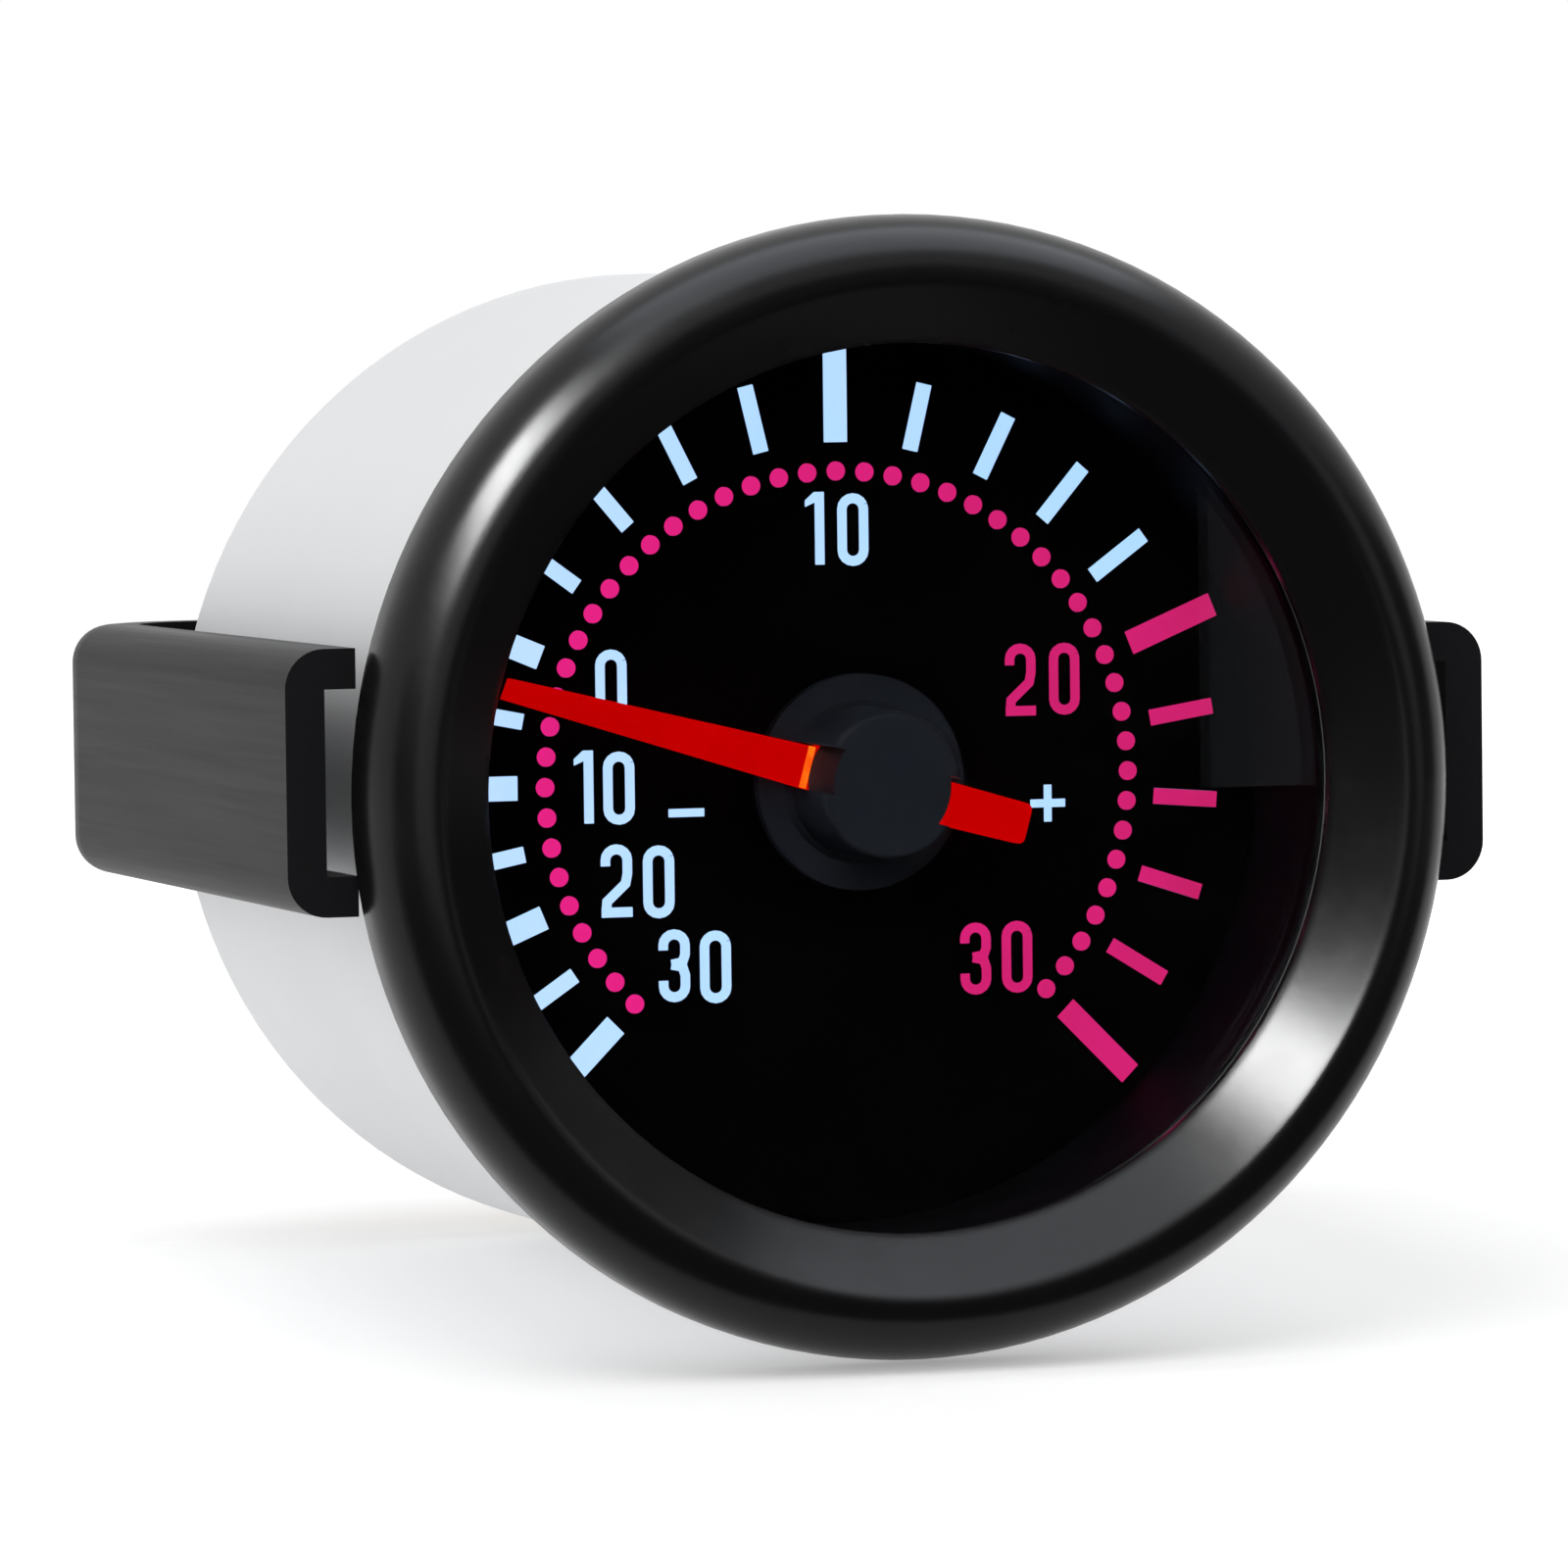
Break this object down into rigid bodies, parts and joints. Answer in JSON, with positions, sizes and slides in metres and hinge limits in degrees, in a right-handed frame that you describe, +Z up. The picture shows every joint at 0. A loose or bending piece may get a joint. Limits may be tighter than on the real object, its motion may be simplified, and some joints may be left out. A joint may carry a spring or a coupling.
{
  "type": "boost gauge",
  "caption": "Round panel gauge for boost and vacuum with a lit dial and pointer, smoked lens, black bezel, white barrel case and a U-shaped clamping bracket behind.",
  "frame": {"origin": "centre of the gauge in the plane of the bezel's rear face, which seats on the panel", "axes": "front faces -Y, +Z up, +X to the right as seen from the front; the gauge's axis lies along Y"},
  "size_m": [0.0634, 0.0683, 0.0572],
  "materials": {
    "white_plastic": "matt moulded",
    "bezel_black": "semi-gloss",
    "rubber_black": "matt",
    "smoked_glass": "smoked, clear",
    "inner_black": "matt moulded",
    "dial_black": "satin",
    "guide_clear": "frosted",
    "board_green": "lacquered",
    "lamp_white": "clear resin",
    "pointer_red": "lit, satin",
    "cap_black": "satin",
    "steel": "turned",
    "brass": "machined",
    "spring_bronze": "drawn",
    "plated_steel": "bright plated",
    "bracket_black": "satin moulded"
  },
  "bodies": {
    "base": {"case": "white_plastic", "bezel": "bezel_black", "lens_gasket": "rubber_black", "lens": "smoked_glass", "shroud_ring": "inner_black", "dial": "dial_black", "light_guide": "guide_clear", "lamp_board": "board_green", "lamps": "lamp_white", "front_plate": "brass", "back_plate": "brass", "pillars": "brass", "plate_screws": "steel", "hairspring": "spring_bronze", "hairspring_stud": "brass", "pressure_tube": "spring_bronze", "tube_tip": "brass", "socket_block": "brass", "hose_nipple": "brass", "port_nut": "plated_steel", "port_washer": "plated_steel", "studs": "plated_steel", "terminal_block": "inner_black", "terminals": "plated_steel"},
    "sector": {"sector": "brass", "sector_arbor": "steel", "tail_pin": "steel"},
    "pointer": {"pointer": "pointer_red", "pointer_base": "cap_black", "pointer_cap": "cap_black", "pointer_arbor": "steel", "pinion": "brass", "hairspring_collet": "brass"},
    "link": {"link": "steel"},
    "bracket": {"bracket": "bracket_black", "bracket_washers": "plated_steel"},
    "left_thumb_nut": {"left_thumb_nut": "plated_steel"},
    "right_thumb_nut": {"right_thumb_nut": "plated_steel"}
  },
  "joints": [
    {"name": "sector_turn", "type": "hinge", "parent": "base", "child": "sector", "pos_m": [0, 0.02, -0.0108], "axis": [0, -1, 0], "range_deg": [-7.55, 26.2]},
    {"name": "pointer_turn", "type": "hinge", "parent": "base", "child": "pointer", "pos_m": [0, 0.02, 0], "axis": [0, -1, 0], "range_deg": [-209.6, 60.4]},
    {"name": "link_swing", "type": "hinge", "parent": "sector", "child": "link", "pos_m": [0, 0.02, -0.0143], "axis": [0, -1, 0], "range_deg": [-25.3, 7.3]},
    {"name": "bracket_slide", "type": "slide", "parent": "base", "child": "bracket", "axis": [0, 1, 0], "range_m": [0, 0.006]},
    {"name": "left_nut_turn", "type": "hinge", "parent": "bracket", "child": "left_thumb_nut", "pos_m": [-0.014, 0.053, 0.001], "axis": [0, 1, 0], "continuous": true},
    {"name": "right_nut_turn", "type": "hinge", "parent": "bracket", "child": "right_thumb_nut", "pos_m": [0.014, 0.053, 0.001], "axis": [0, 1, 0], "continuous": true}
  ],
  "couplings": [
    {"joint": "pointer_turn", "follows": "sector_turn", "ratio": -8},
    {"joint": "link_swing", "follows": "sector_turn", "ratio": -0.965}
  ]
}
